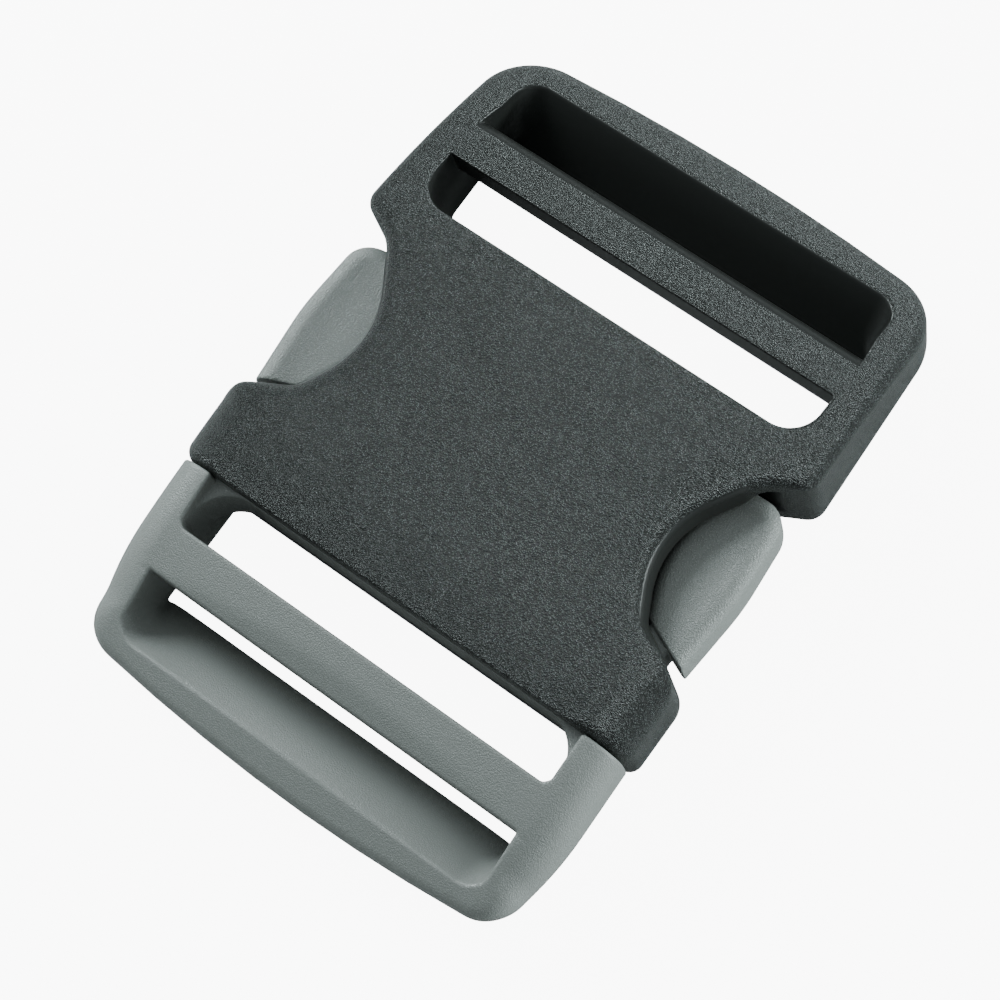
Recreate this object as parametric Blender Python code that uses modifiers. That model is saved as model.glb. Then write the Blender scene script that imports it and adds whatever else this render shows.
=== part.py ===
"""Side release buckle for 50 mm webbing, closed, lying on its flat underside.

Two plastic mouldings. The socket is the hollow half with the waist, and the plug is the half with the
spring arms, which goes into the socket's mouth. X runs across, Y along towards the socket's far end,
Z up, and the origin is at the middle of the underside. Metres.
"""

from math import acos, ceil, cos, pi, sin

import bmesh
import bpy
from mathutils import Matrix, Vector

GAP = 0.0003  # between pieces that touch on the real buckle

# The whole buckle
MOUTH_Y = -0.0199  # the socket's open edge, where the plug's rails stop
CREST_HALF = 0.010  # half the length of the level crest, past which both tops fall away

# Socket
SOCKET_TOP = 0.0139
SOCKET_FALL = 7.0  # how fast its top falls: metres down for each square metre past the crest
SOCKET_SLOT_HALF = 0.0263  # half the width of the webbing slots
SOCKET_SLOT_Y = 0.0194  # the edge of the roof at the inner slot
SOCKET_SLOT_END_Y = 0.0399  # the end bar's inner edge, at the top
SOCKET_SLOPE_Y = 0.0328  # the foot of the end bar's sloping inner face
SOCKET_BAR = (0.02595, 0.03195)  # the fixed bar, from Y to Y
SOCKET_BAR_UNDER = 0.0069
SOCKET_BAR_RADII = (0.0006, 0.0009, 0.0020, 0.0004)  # under near, under far, top far, top near
SOCKET_SLOT_RADII = (0.0040, 0.0015)  # in plan, at the roof and at the end bar
CAVITY_HALF = 0.0286
CAVITY_RADIUS = 0.0010
CAVITY_END_Y = 0.0142
CAVITY_FLOOR = 0.0029
CAVITY_ROOF = 0.0103

# Plug
PLUG_TOP = 0.0131
PLUG_FALL = 6.2
PLUG_SLOT_HALF = 0.0258
PLUG_SLOT_END_Y = -0.04046
PLUG_SLOPE_Y = -0.03335
PLUG_SLOPE_KNEE = (-0.0376, 0.0059)  # Y and Z where the end bar's slope eases off
PLUG_SLOT_RADII = (0.0, 0.0025)
PLUG_BAR = (-0.03245, -0.02665)
PLUG_BAR_UNDER = 0.0060
PLUG_BAR_CREASE_Y = -0.0301  # the bar's top falls away past this faint crease
PLUG_BAR_DROP = 0.0006  # how far its far edge lies below the bowed top
PLUG_BAR_RADII = (0.0004, 0.0, 0.0006, 0.0008, 0.0008)  # in the order that its corners are listed
CROSS_Y = (-0.01995, -0.0164)  # the cross-member in the mouth
CROSS_HALF = 0.0282
CROSS_RADIUS = 0.0005
WEB_RADIUS = 0.0050  # of the web between the cross-member and each rail
ARM_X = (0.0240, 0.0275)
ARM_END_Y = -0.0030  # inside the head
ARM_HALF_THICK = 0.0025
FLANGE_HALF_THICK = 0.0025  # of the part of the head that lies under the roof
FLANGE_X = 0.0210
FLANGE_SPREAD = 0.09  # how fast it thickens outwards
GRIP_STEP_X = (0.0253, 0.0280)  # where the flange swells into the grip
GRIP_STEP = 0.0014
GRIP_X = 0.0305
HEAD_HALF_THICK = FLANGE_HALF_THICK + FLANGE_SPREAD * (GRIP_X - FLANGE_X) + GRIP_STEP
TONGUE_HALF = 0.0050
TONGUE_END_Y = 0.0110
TONGUE_HALF_THICK = 0.0024
TONGUE_RADIUS = 0.0020
MID_Z = (CAVITY_FLOOR + CAVITY_ROOF) / 2  # the level of everything inside the cavity

# Corners of the right half of each outline, far end first: x, y, radius.
# A long bow is the arc at a corner on the middle line.
SOCKET_OUTLINE = (
    (0.0, 0.0455, 0.262),  # bowed end bar
    (0.0299, 0.04275, 0.0074),  # far corner
    (0.0309, 0.0157, 0.0023),  # shoulder lobe
    (0.02575, 0.0131, 0.0060),  # shoulder
    (0.0193, 0.0024, 0.0116),  # waist
    (0.0239, -0.0064, 0.0035),  # below the waist
    (0.03105, -0.0101, 0.0035),  # mouth lobe
    (0.03105, MOUTH_Y, 0.0017),  # mouth
)
PLUG_OUTLINE = (
    (0.0306, MOUTH_Y - GAP, 0.0),  # rail's end at the mouth
    (0.0311, -0.0300, 0.040),  # where the rail starts to draw in
    (0.0293, -0.0424, 0.0054),  # outer corner
    (0.0, -0.04555, 0.231),  # bowed end bar
)
HEAD_OUTLINE = (
    (0.0299, -0.0081, 0.0003),  # hook
    (0.0305, 0.0020, 0.040),  # grip
    (0.0293, 0.01305, 0.0037),  # outer end
    (0.0215, 0.01305, 0.0030),  # inner end, under the roof
    (0.0195, 0.0020, 0.0150),
    (0.0226, -0.00495, 0.0010),  # root of the latching face
)

# Widths of the rounded rims
RIM = 0.0014
GRIP_RIM = 0.0026
LOBE_RIM = 0.0047  # at the sides of the mouth
RAIL_RIM = 0.0044
RAIL_END_RIM = 0.0002  # where a rail stops at the mouth
PLUG_END_RIM = 0.0010
UNDER_RIM = 0.0008
LOBE_UNDER_RIM = 0.0020
RAIL_UNDER_RIM = 0.0044
END_UNDER_RIM = 0.0020
RIM_SEGMENTS = 3
LEAST_TURN = 1.2  # radians between two faces, for their edge to count as a rim
LEVEL_ENOUGH = 0.9  # how far up or down a face looks, for it to count as a top or an underside
SIDE_ENOUGH = 0.7  # how far sideways a wall looks, for its rim to count as a side's

ARC_STEP = pi / 9
LONGEST_CHORD = 0.006
STATION_STEP = 0.0032  # between the cross-cuts that let a top follow its fall
BEYOND = 0.004  # how far a cutter reaches past what it cuts
FOOT_RISE = 0.0006  # height of the upright edge at the foot of an end bar's slope
LIP_DROP = 0.0002  # depth of the upright edge at its top
OVERLAP = 0.0010  # how far a form reaches into the one that it is joined to
WELD = 0.00001


def clear_scene():
    for obj in list(bpy.data.objects):
        bpy.data.objects.remove(obj, do_unlink=True)


def new_collection(name):
    made = bpy.data.collections.new(name)
    bpy.context.scene.collection.children.link(made)
    return made


def plastic(name, colour, roughness):
    made = bpy.data.materials.new(name)
    made.use_nodes = True
    shader = made.node_tree.nodes["Principled BSDF"]
    shader.inputs["Base Color"].default_value = (*colour, 1.0)
    shader.inputs["Roughness"].default_value = roughness
    shader.inputs["Metallic"].default_value = 0.0
    return made


def filleted(corners):
    """The closed outline through these corners, each rounded to its radius."""
    points = []
    for index, (x, y, radius) in enumerate(corners):
        here = Vector((x, y))
        back = (Vector(corners[index - 1][:2]) - here).normalized()
        ahead = (Vector(corners[(index + 1) % len(corners)][:2]) - here).normalized()
        if radius == 0.0:
            points.append(here)
            continue
        half = acos(max(-1.0, min(1.0, back.dot(ahead)))) / 2
        middle = here + (back + ahead).normalized() * radius / sin(half)
        start = here + back * radius * cos(half) / sin(half) - middle
        turn = pi - 2 * half
        turn *= 1 if back.x * ahead.y - back.y * ahead.x < 0 else -1
        steps = max(ceil(abs(turn) / ARC_STEP), ceil(radius * abs(turn) / LONGEST_CHORD))
        for step in range(steps + 1):
            angle = turn * step / steps
            across = Vector((-start.y, start.x))
            points.append(middle + start * cos(angle) + across * sin(angle))
    return points


def both_sides(half):
    """A right half's corners, then their mirror images in turn. A corner on the middle line is kept once."""
    mirrored = [(-x, y, radius) for x, y, radius in reversed(half) if x > 0]
    return list(half) + mirrored


def flat_solid(name, points, low, high):
    """The filled 2D curve through these points, extruded from low to high, as a mesh."""
    curve = bpy.data.curves.new(name, "CURVE")
    curve.dimensions = "2D"
    curve.fill_mode = "BOTH"
    curve.extrude = (high - low) / 2
    spline = curve.splines.new("POLY")
    spline.points.add(len(points) - 1)
    for point, place in zip(spline.points, points):
        point.co = (place[0], place[1], 0.0, 1.0)
    spline.use_cyclic_u = True
    drawn = bpy.data.objects.new(name, curve)
    bpy.context.scene.collection.objects.link(drawn)
    bpy.context.view_layer.update()
    evaluated = drawn.evaluated_get(bpy.context.evaluated_depsgraph_get())
    mesh = bpy.data.meshes.new_from_object(evaluated)
    bpy.data.objects.remove(drawn, do_unlink=True)
    mesh.transform(Matrix.Translation((0.0, 0.0, (low + high) / 2)))
    return closed(name, mesh)


def closed(name, mesh):
    """An object of this mesh, with its loose caps welded on and its faces turned outwards."""
    work = bmesh.new()
    work.from_mesh(mesh)
    bmesh.ops.remove_doubles(work, verts=work.verts, dist=WELD)
    bmesh.ops.dissolve_limit(
        work, angle_limit=0.001, verts=work.verts, edges=work.edges, delimit=set()
    )
    bmesh.ops.recalc_face_normals(work, faces=work.faces)
    work.to_mesh(mesh)
    work.free()
    made = bpy.data.objects.new(name, mesh)
    bpy.context.scene.collection.objects.link(made)
    return made


def side_solid(name, corners, half_width):
    """An outline drawn in the YZ plane, extruded across to both sides."""
    made = flat_solid(name, filleted(corners), -half_width, half_width)
    made.data.transform(Matrix(((0, 0, 1), (1, 0, 0), (0, 1, 0))).to_4x4())
    return made


def bake(obj):
    """Applies the object's modifiers."""
    bpy.context.view_layer.update()
    evaluated = obj.evaluated_get(bpy.context.evaluated_depsgraph_get())
    mesh = bpy.data.meshes.new_from_object(evaluated)
    obj.modifiers.clear()
    obj.data = mesh


def boolean(obj, other, operation):
    """Cuts, joins or intersects with another solid, which is used up."""
    modifier = obj.modifiers.new(operation.lower(), "BOOLEAN")
    modifier.operation = operation
    modifier.solver = "EXACT"
    modifier.object = other
    bake(obj)
    bpy.data.objects.remove(other, do_unlink=True)


def round_rims(obj, width_at):
    """Bevels the rims of a flat-topped solid. width_at(y, nx, upper) gives the width at each edge."""
    work = bmesh.new()
    work.from_mesh(obj.data)
    weight = work.edges.layers.float.new("bevel_weight_edge")
    widest = 0.0
    widths = {}
    for edge in work.edges:
        if len(edge.link_faces) != 2 or edge.calc_face_angle() < LEAST_TURN:
            continue
        wall = min(edge.link_faces, key=lambda face: abs(face.normal.z))
        cap = max(edge.link_faces, key=lambda face: abs(face.normal.z))
        if abs(cap.normal.z) < LEVEL_ENOUGH:
            continue
        middle = (edge.verts[0].co + edge.verts[1].co) / 2
        widths[edge.index] = width_at(middle.y, abs(wall.normal.x), cap.normal.z > 0)
        widest = max(widest, widths[edge.index])
    for edge in work.edges:
        if edge.index in widths:
            edge[weight] = widths[edge.index] / widest
    work.to_mesh(obj.data)
    work.free()
    modifier = obj.modifiers.new("rims", "BEVEL")
    modifier.limit_method = "WEIGHT"
    modifier.width = widest
    modifier.segments = RIM_SEGMENTS
    bake(obj)


def bend_vertices(obj, axis, stations, rule):
    """Cuts the mesh across at each station along an axis, then puts each vertex at rule(vertex)."""
    work = bmesh.new()
    work.from_mesh(obj.data)
    normal = Vector((axis == 0, axis == 1, 0))
    for station in stations:
        everything = work.verts[:] + work.edges[:] + work.faces[:]
        bmesh.ops.bisect_plane(work, geom=everything, plane_co=normal * station, plane_no=normal)
    for vertex in work.verts:
        vertex.co.z = rule(vertex.co)
    bmesh.ops.triangulate(work, faces=[f for f in work.faces if len(f.verts) > 4])
    work.to_mesh(obj.data)
    work.free()


def stations_between(start, end):
    count = ceil((end - start) / STATION_STEP)
    return [start + (end - start) * step / count for step in range(1, count)]


def top_at(y, top, fall):
    """Height of the bowed top, level over the crest and falling ever faster towards the end."""
    return top - fall * max(0.0, abs(y) - CREST_HALF) ** 2


def bow_top(obj, top, fall):
    ys = [vertex.co.y for vertex in obj.data.vertices]
    bend_vertices(
        obj,
        1,
        stations_between(min(ys), max(ys)),
        lambda place: place.z * top_at(place.y, top, fall) / top,
    )


def webbing_space(slot_half, slope, open_y, radii):
    """What the webbing goes through: both slots and the room under the bar, down the end bar's slope.

    slope is a line of Y and Z from the foot of the slope up to the bowed top. radii are those of the
    corners in plan, at the open end and at the end bar.
    """
    foot_y = slope[0][0]
    end_y, end_top = slope[-1]
    corners = [(open_y, -BEYOND, 0.0), (foot_y, -BEYOND, 0.0)]
    corners += [(y, z, 0.0) for y, z in slope[:-1]]
    corners += [(end_y, end_top - LIP_DROP, 0.0), (end_y, SOCKET_TOP + BEYOND, 0.0)]
    corners += [(open_y, SOCKET_TOP + BEYOND, 0.0)]
    space = side_solid("webbing_space", corners, slot_half + OVERLAP)
    outline = filleted(both_sides(((slot_half, end_y, radii[1]), (slot_half, open_y, radii[0]))))
    boolean(space, flat_solid("plan", outline, -2 * BEYOND, SOCKET_TOP + 2 * BEYOND), "INTERSECT")
    return space


def socket():
    """The hollow half: the outer form, less the webbing space, plus its bar, less the cavity."""
    outline = filleted(both_sides(SOCKET_OUTLINE))
    body = flat_solid("buckle_socket", outline, 0.0, SOCKET_TOP)

    def rim_width(y, nx, upper):
        lobe = y < -CREST_HALF and nx > SIDE_ENOUGH
        if upper:
            return LOBE_RIM if lobe else RIM
        return LOBE_UNDER_RIM if lobe else UNDER_RIM

    round_rims(body, rim_width)
    bow_top(body, SOCKET_TOP, SOCKET_FALL)
    end = (SOCKET_SLOT_END_Y, top_at(SOCKET_SLOT_END_Y, SOCKET_TOP, SOCKET_FALL))
    slope = ((SOCKET_SLOPE_Y, FOOT_RISE), end)
    space = webbing_space(SOCKET_SLOT_HALF, slope, SOCKET_SLOT_Y, SOCKET_SLOT_RADII)
    boolean(body, space, "DIFFERENCE")
    near, far = SOCKET_BAR
    near_top, far_top = (top_at(y, SOCKET_TOP, SOCKET_FALL) for y in SOCKET_BAR)
    places = ((near, SOCKET_BAR_UNDER), (far, SOCKET_BAR_UNDER), (far, far_top), (near, near_top))
    corners = [(*place, radius) for place, radius in zip(places, SOCKET_BAR_RADII)]
    boolean(body, side_solid("bar", corners, SOCKET_SLOT_HALF + OVERLAP), "UNION")
    half = ((CAVITY_HALF, CAVITY_END_Y, CAVITY_RADIUS), (CAVITY_HALF, MOUTH_Y - BEYOND, 0.0))
    cavity = flat_solid("cavity", filleted(both_sides(half)), CAVITY_FLOOR, CAVITY_ROOF)
    boolean(body, cavity, "DIFFERENCE")
    return body


def plug_frame():
    """The rails and the end bar, less the webbing space, plus the bar."""
    outline = filleted(both_sides(PLUG_OUTLINE))
    frame = flat_solid("buckle_plug", outline, 0.0, PLUG_TOP)

    def rim_width(y, nx, upper):
        if y > MOUTH_Y - OVERLAP:
            return RAIL_END_RIM
        end, rail = (PLUG_END_RIM, RAIL_RIM) if upper else (END_UNDER_RIM, RAIL_UNDER_RIM)
        return end + (rail - end) * nx * nx

    round_rims(frame, rim_width)
    bow_top(frame, PLUG_TOP, PLUG_FALL)
    end = (PLUG_SLOT_END_Y, top_at(PLUG_SLOT_END_Y, PLUG_TOP, PLUG_FALL))
    slope = ((PLUG_SLOPE_Y, FOOT_RISE), PLUG_SLOPE_KNEE, end)
    space = webbing_space(PLUG_SLOT_HALF, slope, MOUTH_Y + BEYOND, PLUG_SLOT_RADII)
    boolean(frame, space, "DIFFERENCE")
    far, near = PLUG_BAR
    crease = PLUG_BAR_CREASE_Y
    near_top, crease_top, far_top = (top_at(y, PLUG_TOP, PLUG_FALL) for y in (near, crease, far))
    places = (
        (near, near_top),
        (crease, crease_top),
        (far, far_top - PLUG_BAR_DROP),
        (far, PLUG_BAR_UNDER),
        (near, PLUG_BAR_UNDER),
    )
    corners = [(*place, radius) for place, radius in zip(places, PLUG_BAR_RADII)]
    boolean(frame, side_solid("bar", corners, PLUG_SLOT_HALF + OVERLAP), "UNION")
    return frame


def cross_member():
    """The member in the mouth, with a rounded web out to each rail."""
    face, back = CROSS_Y
    inside = PLUG_SLOT_HALF + GAP  # just inside the rail, so that the two overlap
    root = face - WEB_RADIUS - GAP
    half = (
        (CROSS_HALF, back, CROSS_RADIUS),
        (CROSS_HALF, face - OVERLAP, 0.0),
        (inside + OVERLAP, face - OVERLAP, 0.0),
        (inside + OVERLAP, root, 0.0),
        (inside, root, 0.0),
        (inside, face, WEB_RADIUS),
    )
    low = CAVITY_FLOOR + GAP
    return flat_solid("cross_member", filleted(both_sides(half)), low, CAVITY_ROOF - GAP)


def prong(side):
    """A spring arm with its head, whose thickness grows from the flange out to the grip."""
    outline = filleted([(side * x, y, radius) for x, y, radius in HEAD_OUTLINE])
    head = flat_solid("head", outline, -HEAD_HALF_THICK, HEAD_HALF_THICK)

    def rim_width(y, nx, upper):
        return RIM + (GRIP_RIM - RIM) * nx * nx

    round_rims(head, rim_width)

    start, end = GRIP_STEP_X

    def thinned(place):
        step = min(1.0, max(0.0, (abs(place.x) - start) / (end - start)))
        half = FLANGE_HALF_THICK + FLANGE_SPREAD * max(0.0, abs(place.x) - FLANGE_X)
        half += GRIP_STEP * step * step * (3.0 - 2.0 * step)
        return MID_Z + place.z * half / HEAD_HALF_THICK

    cuts = [side * (start + (end - start) * step / 3) for step in range(4)]
    bend_vertices(head, 0, cuts, thinned)
    inner, outer = ARM_X
    corners = (
        (outer, ARM_END_Y, 0.0),
        (outer, CROSS_Y[0] + OVERLAP, 0.0),
        (inner, CROSS_Y[0] + OVERLAP, 0.0),
        (inner, ARM_END_Y, 0.0),
    )
    arm = flat_solid(
        "arm",
        filleted([(side * x, y, radius) for x, y, radius in corners]),
        MID_Z - ARM_HALF_THICK,
        MID_Z + ARM_HALF_THICK,
    )
    boolean(head, arm, "UNION")
    return head


def tongue():
    """The plain guide in the middle, which the closed socket hides."""
    half = ((TONGUE_HALF, TONGUE_END_Y, TONGUE_RADIUS), (TONGUE_HALF, CROSS_Y[0] + OVERLAP, 0.0))
    outline = filleted(both_sides(half))
    return flat_solid("tongue", outline, MID_Z - TONGUE_HALF_THICK, MID_Z + TONGUE_HALF_THICK)


def plug():
    frame = plug_frame()
    for piece in (cross_member(), prong(1), prong(-1), tongue()):
        boolean(frame, piece, "UNION")
    return frame


def finish(obj, collection, material):
    """Puts a moulding in the buckle's collection, with its material and smooth round stretches."""
    for old in list(obj.users_collection):
        old.objects.unlink(obj)
    collection.objects.link(obj)
    obj.data.materials.clear()
    obj.data.materials.append(material)
    obj.data.shade_smooth()
    obj.data.set_sharp_from_angle(angle=pi / 6)


def main():
    clear_scene()
    buckle = new_collection("side_release_buckle")
    finish(socket(), buckle, plastic("dark_grey_plastic", (0.052, 0.058, 0.058), 0.55))
    finish(plug(), buckle, plastic("mid_grey_plastic", (0.19, 0.21, 0.20), 0.50))


main()
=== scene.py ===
# %% [markdown]
# # A side release buckle in two moulded plastics
#
# The buckle joins two ends of 50 mm webbing. The dark half is the socket and the lighter half is the
# plug, whose two spring arms end in the grips that show at the socket's waist. Both are injection
# moulded, so every edge is rounded and the outer faces carry the fine grain of the mould.
#
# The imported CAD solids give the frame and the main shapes. This lesson makes the two mouldings again,
# with soft edges that run into each other, and gives them their plastics.

from math import acos, ceil, cos, pi, sin

import bpy
from mathutils import Matrix, Vector


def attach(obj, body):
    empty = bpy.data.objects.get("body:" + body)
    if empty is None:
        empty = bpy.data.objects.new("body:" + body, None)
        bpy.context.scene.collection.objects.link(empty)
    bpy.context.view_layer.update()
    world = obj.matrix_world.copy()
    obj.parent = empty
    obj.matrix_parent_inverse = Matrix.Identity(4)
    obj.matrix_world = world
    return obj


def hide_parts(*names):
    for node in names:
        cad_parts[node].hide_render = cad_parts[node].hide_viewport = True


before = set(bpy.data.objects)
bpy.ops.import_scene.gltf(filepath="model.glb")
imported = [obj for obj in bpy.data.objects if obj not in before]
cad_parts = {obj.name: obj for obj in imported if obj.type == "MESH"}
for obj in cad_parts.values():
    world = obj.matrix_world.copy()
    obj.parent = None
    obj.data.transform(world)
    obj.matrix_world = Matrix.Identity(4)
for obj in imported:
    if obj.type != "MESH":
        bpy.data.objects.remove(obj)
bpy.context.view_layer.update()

# %% [markdown]
# ## The sizes
#
# They are the same as in the CAD source, in metres: X across, Y along to the socket's far end, Z up,
# and the origin at the middle of the underside. Both tops are level over a crest in the middle and
# fall away ever faster towards the ends, which a parabola describes well.

# %% Sizes of the two mouldings
GAP = 0.0001  # between the mouldings where they touch
MOUTH_Y = -0.0199  # the socket's open edge
CREST_HALF = 0.010  # half the length of the level crest

SOCKET_SIZES = {
    "Top": 0.0139,
    "Fall": 7.0,
    "Rim": 0.0016,
    "Lobe rim": 0.0047,
    "Slot half": 0.0264,
    "Slot start": 0.0194,
    "Slot end": 0.0399,
    "Slope foot": 0.0328,
    "Bar start": 0.02595,
    "Bar end": 0.03195,
    "Bar underside": 0.0069,
    "Cavity half": 0.0286,
    "Cavity end": 0.0142,
    "Cavity floor": 0.0029,
    "Cavity roof": 0.0103,
}
PLUG_SIZES = {
    "Top": 0.0131,
    "Fall": 6.2,
    "Rim": 0.0010,
    "Rail rim": 0.0044,
    "Slot half": 0.0258,
    "Slot end": -0.04046,
    "Slope foot": -0.03335,
    "Bar start": -0.02665,
    "Bar end": -0.03245,
    "Bar underside": 0.0062,
    "Bar crease": -0.0301,
    "Cross low": 0.0032,
    "Cross high": 0.0100,
    "Flange half": 0.0025,
}

# %% [markdown]
# ## The outlines
#
# Seen from above, each moulding is a chain of straight stretches and round corners. A row gives a
# corner's place and its radius, for the right half only, and the left half is its mirror image. The
# outlines become flat curves, which the trees below measure distances to.

# %% Corners of the outlines
SOCKET_OUTLINE = (
    (0.0, 0.04545, 0.262),  # bowed end bar
    (0.0299, 0.04275, 0.0074),  # far corner
    (0.0309, 0.0157, 0.0023),  # shoulder lobe
    (0.02575, 0.0131, 0.0060),  # shoulder
    (0.0193, 0.0024, 0.0116),  # waist
    (0.0239, -0.0064, 0.0035),  # below the waist
    (0.03105, -0.0101, 0.0035),  # mouth lobe
    (0.03105, -0.0300, 0.0),  # past the mouth, which is cut across later
)
PLUG_OUTLINE = (
    (0.0306, -0.0150, 0.0),  # past the rail's end at the mouth
    (0.0310, -0.0325, 0.040),  # the rail's bow
    (0.0293, -0.0424, 0.0054),  # outer corner
    (0.0, -0.04555, 0.231),  # bowed end bar
)
HEAD_OUTLINE = (
    (0.0294, -0.0140, 0.0),  # past the latching face, which is cut across later
    (0.0306, 0.0020, 0.035),  # grip
    (0.0298, 0.01295, 0.0036),  # outer end
    (0.0215, 0.01305, 0.0030),  # inner end, under the roof
    (0.0195, 0.0020, 0.0150),
    (0.0266, -0.0140, 0.0),
)

# %% Rounded corners
ARC_STEP = pi / 90


def filleted(corners):
    """The closed outline through these corners, each rounded to its radius."""
    points = []
    for index, (x, y, radius) in enumerate(corners):
        here = Vector((x, y))
        back = (Vector(corners[index - 1][:2]) - here).normalized()
        ahead = (Vector(corners[(index + 1) % len(corners)][:2]) - here).normalized()
        if radius == 0.0:
            points.append(here)
            continue
        half = acos(max(-1.0, min(1.0, back.dot(ahead)))) / 2
        middle = here + (back + ahead).normalized() * radius / sin(half)
        start = here + back * radius * cos(half) / sin(half) - middle
        turn = pi - 2 * half
        turn *= 1 if back.x * ahead.y - back.y * ahead.x < 0 else -1
        steps = max(ceil(abs(turn) / ARC_STEP), 4)
        for step in range(steps + 1):
            angle = turn * step / steps
            across = Vector((-start.y, start.x))
            points.append(middle + start * cos(angle) + across * sin(angle))
    return points


def both_sides(half):
    """A right half's corners, then their mirror images in turn. A corner on the middle line is kept once."""
    return list(half) + [(-x, y, radius) for x, y, radius in reversed(half) if x > 0]


def outline_curve(name, points):
    """A closed flat curve for a tree to measure to. It isn't shown."""
    curve = bpy.data.curves.new(name, "CURVE")
    curve.dimensions = "2D"
    spline = curve.splines.new("POLY")
    spline.points.add(len(points) - 1)
    for point, place in zip(spline.points, points):
        point.co = (place[0], place[1], 0.0, 1.0)
    spline.use_cyclic_u = True
    made = bpy.data.objects.new(name, curve)
    bpy.context.scene.collection.objects.link(made)
    print(name, "has", len(points), "points")
    return made


socket_curve = outline_curve("socket_outline", filleted(both_sides(SOCKET_OUTLINE)))
plug_curve = outline_curve("plug_outline", filleted(both_sides(PLUG_OUTLINE)))
head_curve = outline_curve("head_outline", filleted(HEAD_OUTLINE))

# %% [markdown]
# ## Distances as clay
#
# A moulding has no sharp edges: its faces run into each other over a small radius, and that radius
# differs from place to place. Bevels on a mesh struggle with that where forms cross. So each moulding
# is described as a distance instead. At every point of space a number says how far it is to the
# surface, negative inside. Two forms combine by simple arithmetic on their numbers, with a rounded
# edge or a rounded inside corner of any radius, and the surface is where the number is zero.
#
# The arithmetic is drawn as nodes. A small class lets the usual signs add the Math nodes, so that the
# rules below read like formulas.

# %% Nodes from formulas


def add(tree, kind, inputs=None, out=0, **settings):
    """Adds one node with these settings, links or sets its inputs, and gives the output asked for."""
    node = tree.nodes.new(kind)
    for name, value in settings.items():
        setattr(node, name, value)
    for key, value in (inputs or {}).items():
        if isinstance(value, bpy.types.NodeSocket):
            tree.links.new(value, node.inputs[key])
        else:
            node.inputs[key].default_value = value
    return node.outputs[out]


class Field:
    """A number that differs from place to place: a socket of a tree, with the usual signs."""

    def __init__(self, socket):
        self.socket = socket

    def math(self, operation, *others):
        values = enumerate((self, *others))
        inputs = {index: getattr(value, "socket", value) for index, value in values}
        return Field(add(self.socket.id_data, "ShaderNodeMath", inputs, operation=operation))

    def __add__(self, other):
        return self.math("ADD", other)

    def __sub__(self, other):
        return self.math("SUBTRACT", other)

    def __mul__(self, other):
        return self.math("MULTIPLY", other)

    def __neg__(self):
        return self.math("MULTIPLY", -1.0)

    def __abs__(self):
        return self.math("ABSOLUTE")

    def least(self, other):
        return self.math("MINIMUM", other)

    def most(self, other):
        return self.math("MAXIMUM", other)

    def ramp(self, start, end):
        """From 0 where this number is start to 1 where it is end, eased at both ends."""
        inputs = {"Value": self.socket, "From Min": start, "From Max": end}
        tree = self.socket.id_data
        return Field(add(tree, "ShaderNodeMapRange", inputs, interpolation_type="SMOOTHSTEP"))


def meet(a, b, radius):
    """Where both forms are, with the edge between them rounded to the radius."""
    past_a = (a + radius).most(0.0)
    past_b = (b + radius).most(0.0)
    corner = (past_a * past_a + past_b * past_b).math("SQRT")
    inside = (a.most(b) + radius).least(0.0)
    return corner + inside - radius


def join(a, b, radius):
    """Either form, with the inside corner between them rounded to the radius."""
    return -meet(-a, -b, radius)


def cut(a, b, radius):
    """The first form less the second, with the edge of the cut rounded to the radius."""
    return meet(a, -b, radius)


# %% [markdown]
# A tree starts with its place in space and its named sizes, which stay on the modifier as inputs. The
# distance to an outline comes from Geometry Proximity, and a ray cast down on the filled outline says
# whether the point is inside it.
#
# Volume Cube samples the rule on a fine grid, and Volume to Mesh finds the surface in it. Grain and
# shine differ between the outer faces and those that a core of the mould made, so the tree stores how
# close each vertex is to the outer form, for the material.

# %% A tree for a moulding
VOXEL = 0.0002


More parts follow.
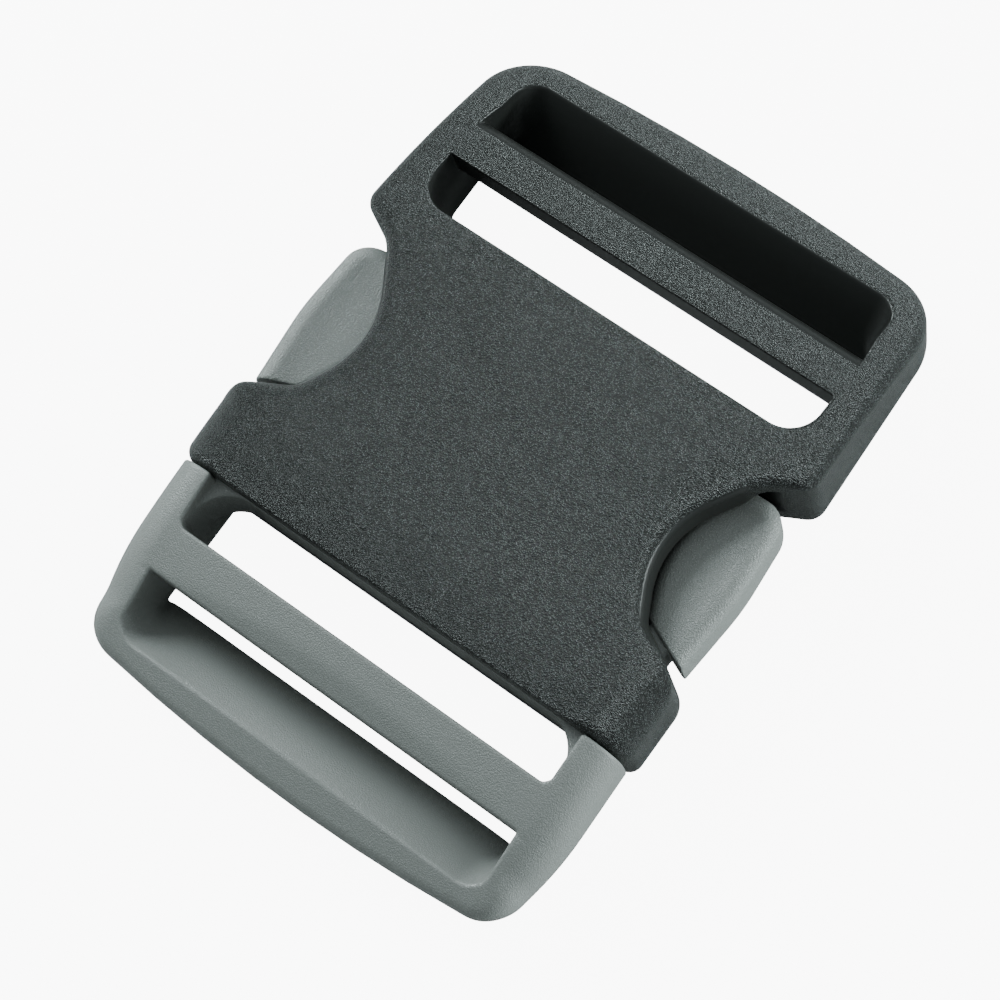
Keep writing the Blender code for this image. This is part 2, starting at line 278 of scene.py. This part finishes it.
class Moulding:
    """One Geometry Nodes tree, with its sizes and outlines as named inputs."""

    def __init__(self, name, sizes, outlines):
        self.name = name
        self.tree = bpy.data.node_groups.new(name, "GeometryNodeTree")
        face = self.tree.interface
        face.new_socket("Geometry", in_out="OUTPUT", socket_type="NodeSocketGeometry")
        self.values = {}
        for label, value in sizes.items():
            socket = face.new_socket(label, in_out="INPUT", socket_type="NodeSocketFloat")
            self.values[socket.identifier] = value
        for label, value in outlines.items():
            socket = face.new_socket(label, in_out="INPUT", socket_type="NodeSocketObject")
            self.values[socket.identifier] = value
        material = face.new_socket("Material", in_out="INPUT", socket_type="NodeSocketMaterial")
        self.material_key = material.identifier
        self.given = self.tree.nodes.new("NodeGroupInput")
        place = add(self.tree, "GeometryNodeInputPosition")
        parts = [add(self.tree, "ShaderNodeSeparateXYZ", {0: place}, out=i) for i in range(3)]
        self.x, self.y, self.z = map(Field, parts)

    def size(self, label):
        return Field(self.given.outputs[label])

    def plan(self, label, mirrored=False):
        """Distance to an outline seen from above, negative inside it. Mirrored, it stands on both sides."""
        told = self.given.outputs[label]
        x = abs(self.x) if mirrored else self.x
        flat = add(self.tree, "ShaderNodeCombineXYZ", {0: x.socket, 1: self.y.socket})
        drawn = add(self.tree, "GeometryNodeObjectInfo", {"Object": told}, out="Geometry")
        line = add(self.tree, "GeometryNodeCurveToMesh", {"Curve": drawn})
        away = add(
            self.tree,
            "GeometryNodeProximity",
            {0: line, "Sample Position": flat},
            out="Distance",
            target_element="EDGES",
        )
        filled = add(self.tree, "GeometryNodeFillCurve", {0: drawn})
        above = add(
            self.tree,
            "ShaderNodeVectorMath",
            {0: flat, 1: (0.0, 0.0, 1.0)},
            operation="ADD",
        )
        ray = {
            "Target Geometry": filled,
            "Source Position": above,
            "Ray Direction": (0.0, 0.0, -1.0),
            "Ray Length": 2.0,
        }
        hit = Field(add(self.tree, "GeometryNodeRaycast", ray, out="Is Hit"))
        return Field(away) * (hit * -2.0 + 1.0)

    def top(self):
        """Height above the bowed top."""
        past = (abs(self.y) - CREST_HALF).most(0.0)
        return self.z - self.size("Top") + self.size("Fall") * past * past

    def meshed(self, form, outer, low, high):
        """The object whose surface is where the form is zero, between two corners of space."""
        sides = [high[i] - low[i] for i in range(3)]
        cells = {f"Resolution {axis}": ceil(side / VOXEL) for axis, side in zip("XYZ", sides)}
        grid = {"Density": (form * -1000.0).socket, "Background": -1.0, "Min": low, "Max": high}
        volume = add(self.tree, "GeometryNodeVolumeCube", grid | cells)
        surface = add(
            self.tree,
            "GeometryNodeVolumeToMesh",
            {"Volume": volume, "Threshold": 0.0, "Adaptivity": 0.0},
            resolution_mode="GRID",
        )
        kept = add(
            self.tree,
            "GeometryNodeStoreNamedAttribute",
            {"Geometry": surface, "Name": "outer_face", "Value": outer.socket},
            data_type="FLOAT",
            domain="POINT",
        )
        whole = add(self.tree, "GeometryNodeRealizeInstances", {0: kept})
        told = self.given.outputs["Material"]
        finished = add(self.tree, "GeometryNodeSetMaterial", {0: whole, "Material": told})
        self.tree.nodes.new("NodeGroupOutput")
        self.tree.links.new(finished, self.tree.nodes["Group Output"].inputs[0])

    def build(self, material, share):
        """Runs the tree, thins the mesh to this share of its triangles, and gives a plain object."""
        made = bpy.data.objects.new(self.name, bpy.data.meshes.new(self.name))
        bpy.context.scene.collection.objects.link(made)
        modifier = made.modifiers.new("form", "NODES")
        modifier.node_group = self.tree
        for key, value in self.values.items():
            modifier[key] = value
        modifier[self.material_key] = material
        thin = made.modifiers.new("thin", "DECIMATE")
        thin.ratio = share
        bpy.context.view_layer.update()
        evaluated = made.evaluated_get(bpy.context.evaluated_depsgraph_get())
        mesh = bpy.data.meshes.new_from_object(evaluated)
        made.modifiers.clear()
        made.data = mesh
        mesh.shade_smooth()
        mesh.calc_loop_triangles()
        print(self.name, "has", len(mesh.loop_triangles), "triangles")
        return made

# %% [markdown]
# ## The socket
#
# The socket is the hollow half. Its outer form is the outline raised to the bowed top, with a narrow
# rounded rim that widens on the two lobes beside the mouth, where fingers meet it. The wall at the
# waist leans out a little, as a mould's draft.
#
# From it go two spaces. The webbing space is a long slot with an oblique floor up to the end bar, and
# the fixed bar crosses it. The cavity takes the plug, and opens at the mouth and on both sides of the
# waist.

# %% Webbing slots
SLOT_DRAFT = 0.03  # how much the slots narrow with depth, so that the core slides out
UNDER_RIM = 0.0008  # rounding of the edges round the underside
BAR_ROOT = 0.001  # how far a bar runs into the walls at its ends
FOOT_HOLLOW = 0.0003  # inside corner between a slot's wall and its oblique floor, at the foot
TOP_HOLLOW = 0.0030
HOLLOW_HEIGHT = 0.0045  # where the inside corner reaches its full radius


def sloped(here, foot, gradient):
    """Distance above a face that climbs along Y from a foot, given as Y and Z."""
    lean = (1 + gradient * gradient) ** 0.5
    return (here.z - foot[1]) * (1 / lean) - (here.y - foot[0]) * (gradient / lean)


def hollow_radius(here):
    """The inside corner's radius beside an oblique floor, which grows with height."""
    return here.z.ramp(0.0, HOLLOW_HEIGHT) * (TOP_HOLLOW - FOOT_HOLLOW) + FOOT_HOLLOW


# %% Sizes that the socket's rule uses
FINE_EDGE = 0.0004
LOBE_ACROSS = (0.0235, 0.0262)  # over which the mouth lobes' broad rounding grows
LOBE_ALONG = (-0.0085, -0.0125)
LOBE_UNDER_RIM = 0.0012  # more rounding on the lobes than on the other edges
LOBE_MOUTH_RIM = 0.0013
WAIST_ACROSS = (0.0285, 0.0260)  # over which the waist's own features grow
WAIST_ALONG = (0.0125, 0.0100)
WAIST_MIDDLE = 0.001
WAIST_DRAFT = 0.12  # lean of the waist's wall
DRAFT_TOP = 0.0129
DRAFT_HEIGHT = 0.0033
LIP_INSIDE = (-0.0022, -0.0012)  # the roof's edge comes down over this depth from the wall
LIP_DROP = 0.0006
CAVITY_CORNER = 0.0010
CAVITY_EDGE = 0.0005
CAVITY_RIM = 0.0003
SLOT_TOP = 0.0130  # where the slots have their full width
SLOT_CORNER = 0.0015
SLOT_CORNER_GROWTH = 0.0025  # the corners are this much rounder at the near end
CORNER_ALONG = (0.036, 0.022)
WALL_STEP = 0.0004  # the outer slot is this much narrower on each side
STEP_ALONG = (0.0310, 0.0350)
SLOPE_FOOT_Z = 0.0006
SLOPE_CLIMB = 0.99
BAR_FAR_RIM = 0.0020
SOCKET_GRAIN = (-0.00014, -0.00005)  # the grain ends this near under the outer form
WALL_FACE = (-0.0006, -0.0003)
BAND_NEAR = (0.0303, 0.0306)  # a smooth band without grain along the bar's far edge
BAND_FAR = (0.0345, 0.0335)
BAND_ACROSS = (0.0266, 0.0262)

# %% The socket's rule
socket_form = Moulding("socket_form", SOCKET_SIZES, {"Outline": socket_curve})


def shape_socket(here):
    """The socket's distance, and where its grain is."""
    size = here.size
    across = abs(here.x)
    beside = across.ramp(*LOBE_ACROSS)
    lobe = beside * here.y.ramp(*LOBE_ALONG)
    waist = across.ramp(*WAIST_ACROSS) * abs(here.y - WAIST_MIDDLE).ramp(*WAIST_ALONG)
    lean = (-(here.z - DRAFT_TOP)).most(0.0).least(DRAFT_HEIGHT) * WAIST_DRAFT * waist
    plan = here.plan("Outline") - lean
    outer = meet(plan, here.top(), size("Rim") + (size("Lobe rim") - size("Rim")) * lobe)
    outer = meet(outer, -here.z, lobe * LOBE_UNDER_RIM + UNDER_RIM)
    outer = meet(outer, -(here.y - MOUTH_Y), beside * LOBE_MOUTH_RIM + FINE_EDGE)

    corner = here.y.ramp(*CORNER_ALONG) * SLOT_CORNER_GROWTH + SLOT_CORNER
    ends = (size("Slot start") - here.y).most(here.y - size("Slot end"))
    half = size("Slot half") - (here.z * -1.0 + SLOT_TOP) * SLOT_DRAFT
    walls = across - half + here.y.ramp(*STEP_ALONG) * WALL_STEP
    floor = sloped(here, (SOCKET_SIZES["Slope foot"], SLOPE_FOOT_Z), SLOPE_CLIMB)
    floor = (-floor).least(here.y - size("Slope foot"))
    webbing = meet(walls, ends, corner).most(meet(walls, floor, hollow_radius(here)))
    body = cut(outer, webbing, FINE_EDGE)
    bar = meet(outer, here.y - size("Bar end"), BAR_FAR_RIM)
    bar = meet(bar, size("Bar start") - here.y, FINE_EDGE)
    bar = meet(bar, size("Bar underside") - here.z, UNDER_RIM)
    body = body.least(bar.most(across - size("Slot half") - BAR_ROOT))

    room = meet(across - size("Cavity half"), here.y - size("Cavity end"), CAVITY_CORNER)
    roof = size("Cavity roof") - waist * plan.ramp(*LIP_INSIDE) * LIP_DROP
    levels = (size("Cavity floor") - here.z).most(here.z - roof)
    body = cut(body, meet(room, levels, CAVITY_EDGE), CAVITY_RIM)
    wall = waist * plan.ramp(*WALL_FACE)
    band = here.y.ramp(*BAND_NEAR) * here.y.ramp(*BAND_FAR) * across.ramp(*BAND_ACROSS)
    grain = outer.ramp(*SOCKET_GRAIN) * (-wall + 1.0) * (-band + 1.0)
    return body, grain


# %% [markdown]
# ## The plug
#
# The plug's frame has two rails, an end bar with an oblique face like the socket's, and a flat bar
# with a faint crease that the webbing wraps. The rails are rounded broadly on the outside, where the
# hand takes hold. A cross-member carries the arms at the mouth, with a round web out to each rail.
#
# Each arm ends in a head. Under the socket's roof it is a thin flange, and outside it thickens to a
# grip with a broad rounding, whose hook catches behind the mouth lobe.

# %% The cross-member's outline
MID_Z = 0.0066  # the level that the arms, heads and tongue lie on
CROSS_FACE = MOUTH_Y - 0.00005
CROSS_BACK = -0.0164
CROSS_HALF = 0.0282
WEB_RADIUS = 0.0050
WEB_EXTRA = 0.0003  # the web goes this much past its round, along the rail
INTO_MOUTH = 0.0010
INTO_RAIL = 0.0010
rail_inside = PLUG_SIZES["Slot half"]
web_end = CROSS_FACE - WEB_RADIUS - WEB_EXTRA
CROSS_OUTLINE = (
    (CROSS_HALF, CROSS_BACK, 0.0005),
    (CROSS_HALF, CROSS_FACE - INTO_MOUTH, 0.0),
    (rail_inside + INTO_RAIL, CROSS_FACE - INTO_MOUTH, 0.0),
    (rail_inside + INTO_RAIL, web_end, 0.0),
    (rail_inside, web_end, 0.0),
    (rail_inside, CROSS_FACE, WEB_RADIUS),
)
cross_curve = outline_curve("cross_outline", filleted(both_sides(CROSS_OUTLINE)))

# %% Sizes that the plug's rule uses
PLUG_EDGE = 0.0003
RAIL_ALONG = (-0.0430, -0.0360)  # over which the rail's broad rounding grows
UNDER_ALONG = (-0.0470, -0.0405)
RAIL_UNDER_RIM = 0.0046
MOUTH_EDGE = 0.0002
CREASE_BOW = 3.84  # the bar's crease bows away from the middle
FACET_FALL = 0.25
FACET_END = -0.0329
FACET_END_FALL = 3.0
PLUG_SLOT_TOP = 0.0120
PLUG_FOOT_Z = 0.0010
PLUG_CLIMB = -1.25
BROW_TOP = 0.0074  # height to which the steep face climbs, at the slot's end
BROW_FALL = 0.45  # slope of the face above it, which grows towards the rails
BROW_BOW = 900.0
BROW_LEAN = 0.88
BROW_ROUND = 0.0014
PLUG_CORNER = 0.0025
BAR_FILLET = 0.0010  # rounding where the bar meets the rails
BAR_FILLET_BOW = 800.0
CROSS_EDGE = 0.0004
CROSS_ROOT = 0.0001
RAIL_GRAIN = (-0.006, -0.001)
RAIL_GRAIN_SHARE = 0.6

# %% Sizes of the arms, heads and tongue
HEAD_START = 0.021  # the head's faces spread from here outwards
HEAD_SPREAD = 0.14
GRIP_START = 0.0250  # and swell from here
GRIP_SWELL = 20.0
HEAD_RIM = 0.0022
LATCH_X, LATCH_Y = 0.0299, -0.0081  # outer end of the latching face
LATCH_SIDE, LATCH_AHEAD = 0.396, 0.918  # the way that it faces
HEAD_GRAIN = (-0.0002, 0.0)
HEAD_GRAIN_ALONG = (-0.009, -0.008)
ARM_X, ARM_HALF = 0.02575, 0.00175
ARM_ROOT, ARM_END = -0.0205, -0.003
ARM_THICK, ARM_RIM = 0.0025, 0.0006
TONGUE_HALF, TONGUE_CORNER = 0.005, 0.002
TONGUE_ROOT, TONGUE_END = -0.019, 0.011
TONGUE_THICK, TONGUE_RIM = 0.0024, 0.0005

# %% The plug's rule
plug_outlines = {"Outline": plug_curve, "Head outline": head_curve, "Cross outline": cross_curve}
plug_form = Moulding("plug_form", PLUG_SIZES, plug_outlines)


def shape_frame(here):
    """The distance of the rails, bars and cross-member, and where their grain is."""
    size = here.size
    across = abs(here.x)
    turn = here.y.ramp(*RAIL_ALONG)
    rim = size("Rim") + (size("Rail rim") - size("Rim")) * turn
    outer = meet(here.plan("Outline"), here.top(), rim)
    outer = meet(outer, -here.z, here.y.ramp(*UNDER_ALONG) * RAIL_UNDER_RIM + UNDER_RIM)
    outer = meet(outer, here.y - (MOUTH_Y - GAP), MOUTH_EDGE)
    crease = size("Bar crease") - here.x * here.x * CREASE_BOW
    facet = here.top() + (crease - here.y) * FACET_FALL
    facet = facet - (-(here.y - FACET_END)).most(0.0) * FACET_END_FALL
    outer = outer.math("SMOOTH_MAX", facet, PLUG_EDGE)

    half = size("Slot half") - (here.z * -1.0 + PLUG_SLOT_TOP) * SLOT_DRAFT
    walls = across - half
    steep = sloped(here, (PLUG_SIZES["Slope foot"], PLUG_FOOT_Z), PLUG_CLIMB)
    bowed = here.x * here.x * BROW_BOW + BROW_FALL
    shallow = (here.z - BROW_TOP + bowed * (here.y - size("Slot end"))) * BROW_LEAN
    floor = steep.math("SMOOTH_MAX", shallow, BROW_ROUND)
    floor = join(-floor, size("Slope foot") - here.y, PLUG_EDGE)
    ends = meet(walls, size("Slot end") - here.y, PLUG_CORNER)
    webbing = ends.most(meet(walls, floor, hollow_radius(here)))
    body = cut(outer, webbing, PLUG_EDGE)
    bar = meet(outer, size("Bar end") - here.y, PLUG_EDGE)
    corner = (across - (half - BAR_FILLET)).most(0.0)
    bar = meet(bar, here.y - size("Bar start") - corner * corner * BAR_FILLET_BOW, PLUG_EDGE)
    bar = meet(bar, size("Bar underside") - here.z, UNDER_RIM)
    body = body.least(bar.most(across - size("Slot half") - BAR_ROOT))

    levels = (size("Cross low") - here.z).most(here.z - size("Cross high"))
    body = join(body, meet(here.plan("Cross outline"), levels, CROSS_EDGE), CROSS_ROOT)
    return body, outer.ramp(*RAIL_GRAIN) * RAIL_GRAIN_SHARE


def shape_prongs(here):
    """The distance of the arms, heads and tongue, and where their grain is."""
    across = abs(here.x)
    level = abs(here.z - MID_Z)
    outside = (across - GRIP_START).most(0.0)
    rise = (across - HEAD_START) * HEAD_SPREAD + outside * outside * GRIP_SWELL
    thick = here.size("Flange half") + rise.most(0.0)
    head = meet(here.plan("Head outline", mirrored=True), level - thick, HEAD_RIM)
    latch = (across - LATCH_X) * -LATCH_SIDE - (here.y - LATCH_Y) * LATCH_AHEAD
    head = meet(head, latch, MOUTH_EDGE)
    arm = abs(across - ARM_X) - ARM_HALF
    arm = arm.most(here.y - ARM_END).most(-(here.y - ARM_ROOT))
    arm = meet(arm, level - ARM_THICK, ARM_RIM)
    tongue = meet(across - TONGUE_HALF, here.y - TONGUE_END, TONGUE_CORNER)
    tongue = tongue.most(-(here.y - TONGUE_ROOT))
    tongue = meet(tongue, level - TONGUE_THICK, TONGUE_RIM)
    grain = (-head).ramp(*HEAD_GRAIN) * here.y.ramp(*HEAD_GRAIN_ALONG)
    return head.least(arm).least(tongue), grain


def shape_plug(here):
    """The plug's distance, and where its grain is."""
    body, body_grain = shape_frame(here)
    prongs, prong_grain = shape_prongs(here)
    return body.least(prongs), body_grain.most(prong_grain)


# %% [markdown]
# ## The plastics
#
# Webbing buckles are moulded in acetal or nylon, and the colour runs right through. The steel of the
# mould is etched where hands and eyes go, which leaves a fine pebbled grain. Its peaks get a painted
# glint, a lighter tone that stands in for the light catching them.
# Where a core slid out of the mould the plastic stays smooth and plain. One function makes both
# plastics, and the stored number says where the grain is.

# %% Colours and the plastic material
# PEAK places the painted glint on each pebble, where the lighter tone starts and where it is whole.
PEAK = (0.38, 0.12)  # distance from a pebble's middle, in cells, where its light peak starts and is whole
GRAIN_GLOSS = -0.06  # the grained faces take this off the roughness


def linear(text):
    """An sRGB colour like #3c4242 as the linear values that a shader takes."""
    parts = [int(text[i : i + 2], 16) / 255 for i in (1, 3, 5)]
    return [p / 12.92 if p <= 0.04045 else ((p + 0.055) / 1.055) ** 2.4 for p in parts] + [1.0]


def moulded(name, colour, painted_glint, grain_size, grain_depth, roughness):
    """A moulded plastic: its colour, the painted glint colour of the grain's peaks, and the grain's size and
    depth.
    """
    made = bpy.data.materials.new(name)
    made.use_nodes = True
    tree = made.node_tree
    shader = tree.nodes["Principled BSDF"]
    where = add(tree, "ShaderNodeTexCoord", out="Object")
    grained = Field(add(tree, "ShaderNodeAttribute", out="Fac", attribute_name="outer_face"))
    # Pebbles of the etched mould: one small dome in each cell
    cells = add(
        tree,
        "ShaderNodeTexVoronoi",
        {"Vector": where, "Scale": 1 / grain_size},
        out="Distance",
        voronoi_dimensions="3D",
        feature="F1",
    )
    height = (-Field(cells)) * grained
    bump = add(
        tree,
        "ShaderNodeBump",
        {"Strength": 1.0, "Distance": grain_depth, "Height": height.socket},
    )
    tree.links.new(bump, shader.inputs["Normal"])
    # Painted glints: each pebble's peak is painted lighter than the pits, as a highlight where light catches
    # it
    peak = Field(cells).ramp(*PEAK) * grained
    tone = add(
        tree,
        "ShaderNodeMix",
        {0: peak.socket, 6: linear(colour), 7: linear(painted_glint)},
        out=2,
        data_type="RGBA",
    )
    tree.links.new(tone, shader.inputs["Base Color"])
    # Light catches on the grain, so the eye finds its faces a little shinier than the smooth ones
    rough = grained * GRAIN_GLOSS + roughness
    tree.links.new(rough.socket, shader.inputs["Roughness"])
    return made


# The second colour of each plastic is the painted glint on its grain's peaks, not a colour of its own.
socket_plastic = moulded("moulded_acetal_charcoal", "#151615", "#646968", 0.00018, 0.00020, 0.36)
plug_plastic = moulded("moulded_acetal_grey", "#686a68", "#868987", 0.00018, 0.00007, 0.46)

# %% [markdown]
# ## Making the mouldings
#
# Each rule now runs once, on a grid of a fifth of a millimetre. The flat stretches need far
# fewer triangles than the grid gives, so a Decimate pass merges those and keeps the round edges.

# %% Build both mouldings
THINNED_TO = 0.25  # the share of its triangles that each mesh keeps
SOCKET_BOX = ((-0.0325, -0.0213, -0.0010), (0.0325, 0.0457, 0.0149))
PLUG_BOX = ((-0.0318, -0.0469, -0.0010), (0.0318, 0.0145, 0.0141))

socket_form.meshed(*shape_socket(socket_form), *SOCKET_BOX)
socket = socket_form.build(socket_plastic, THINNED_TO)
plug_form.meshed(*shape_plug(plug_form), *PLUG_BOX)
plug = plug_form.build(plug_plastic, THINNED_TO)

for drawn in (socket_curve, plug_curve, head_curve, cross_curve):
    bpy.data.objects.remove(drawn, do_unlink=True)
for piece, name, node, finish in (
    (socket, "socket_moulding", "buckle_socket", "socket_plastic"),
    (plug, "plug_moulding", "buckle_plug", "plug_plastic"),
):
    piece.name = name
    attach(piece, "root")
    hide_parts(node)
    size = [round(1000 * side, 2) for side in piece.dimensions]
    print(name, "measures", size, "mm")

# %% [markdown]
# ## The table and the light
#
# The buckle lies on a plain table in a light tent. The white that the eye sees is a sheet that glows
# for the eye alone, and a grey sheet just below it gives the buckle its bounce light. Soft lights at
# the left, the right and overhead give the shine. Wide ones round the far half light the plastic's
# colour only, so the faces towards the near side stay dark.

# %% Floor
SHEET_HALF = 1.5
PAPER_GLOW = 9.0
BOUNCE_Z = -0.0002


def sheet(name, height, glow):
    """A wide level sheet of pale grey paper that glows this strongly."""
    mesh = bpy.data.meshes.new(name)
    corners = [(x * SHEET_HALF, y * SHEET_HALF, height) for x, y in ((-1, -1), (1, -1), (1, 1), (-1, 1))]
    mesh.from_pydata(corners, [], [(0, 1, 2, 3)])
    made = bpy.data.objects.new(name, mesh)
    bpy.context.scene.collection.objects.link(made)
    paper = bpy.data.materials.new(name)
    paper.use_nodes = True
    shader = paper.node_tree.nodes["Principled BSDF"]
    shader.inputs["Base Color"].default_value = linear("#a0a0a0")
    shader.inputs["Roughness"].default_value = 0.9
    shader.inputs["Emission Color"].default_value = linear("#ffffff")
    shader.inputs["Emission Strength"].default_value = glow
    mesh.materials.append(paper)
    print(name, "is", 2 * SHEET_HALF, "m wide")
    return made


floor = sheet("floor", 0.0, PAPER_GLOW)
floor.visible_diffuse = False
floor.visible_glossy = False
floor.visible_shadow = False
bounce = sheet("bounce", BOUNCE_Z, 0.0)
bounce.visible_camera = False

# %% Lights
DAYLIGHT = linear("#f2ffff")
TENT_STRENGTH = 0.28
LIGHTS = (  # name, place, width and height, watts, whether it shows in the shine
    ("left_light", (-0.50, 0.16, 0.32), (0.30, 0.30), 6.5, True),
    ("right_light", (0.62, 0.36, 0.08), (0.40, 0.12), 4.5, True),
    ("top_light", (-0.18, 0.10, 0.56), (0.45, 0.45), 1.1, True),
    ("left_wall", (-0.50, 0.0, 0.25), (1.00, 0.30), 1.6, False),
    ("far_wall", (0.0, 0.50, 0.22), (1.00, 0.30), 1.5, False),
    ("right_wall", (0.50, 0.0, 0.22), (1.00, 0.30), 1.4, False),
    ("right_fill", (0.62, 0.36, 0.06), (0.50, 0.10), 9.0, False),
)
for name, place, (width, height), watts, in_shine in LIGHTS:
    light = bpy.data.lights.new(name, "AREA")
    light.shape = "RECTANGLE"
    light.size = width
    light.size_y = height
    light.energy = watts
    light.color = DAYLIGHT[:3]
    lamp = bpy.data.objects.new(name, light)
    lamp.location = place
    lamp.rotation_euler = (-Vector(place)).to_track_quat("-Z", "Y").to_euler()
    lamp.visible_camera = False
    lamp.visible_glossy = in_shine
    bpy.context.scene.collection.objects.link(lamp)
print(len(LIGHTS), "lights")

tent = bpy.data.worlds.new("tent")
tent.use_nodes = True
tent.node_tree.nodes["Background"].inputs["Color"].default_value = DAYLIGHT
tent.node_tree.nodes["Background"].inputs["Strength"].default_value = TENT_STRENGTH
bpy.context.scene.world = tent

# %% Camera
CAMERA_PLACE = (0.090184, -0.048945, 0.304949)
CAMERA_RIGHT = (0.794875, 0.588771, -0.146709)
CAMERA_UP = (-0.537034, 0.795185, 0.281558)
CAMERA_BACK = (0.282434, -0.145015, 0.948262)

camera = bpy.data.cameras.new("camera")
camera.sensor_width = 36.0
camera.lens = 101.4
camera_object = bpy.data.objects.new("camera", camera)
turned = Matrix((CAMERA_RIGHT, CAMERA_UP, CAMERA_BACK)).transposed().to_4x4()
camera_object.matrix_world = Matrix.Translation(CAMERA_PLACE) @ turned
bpy.context.scene.collection.objects.link(camera_object)
bpy.context.scene.camera = camera_object
print("camera", [round(value, 3) for value in camera_object.location], "lens", camera.lens)
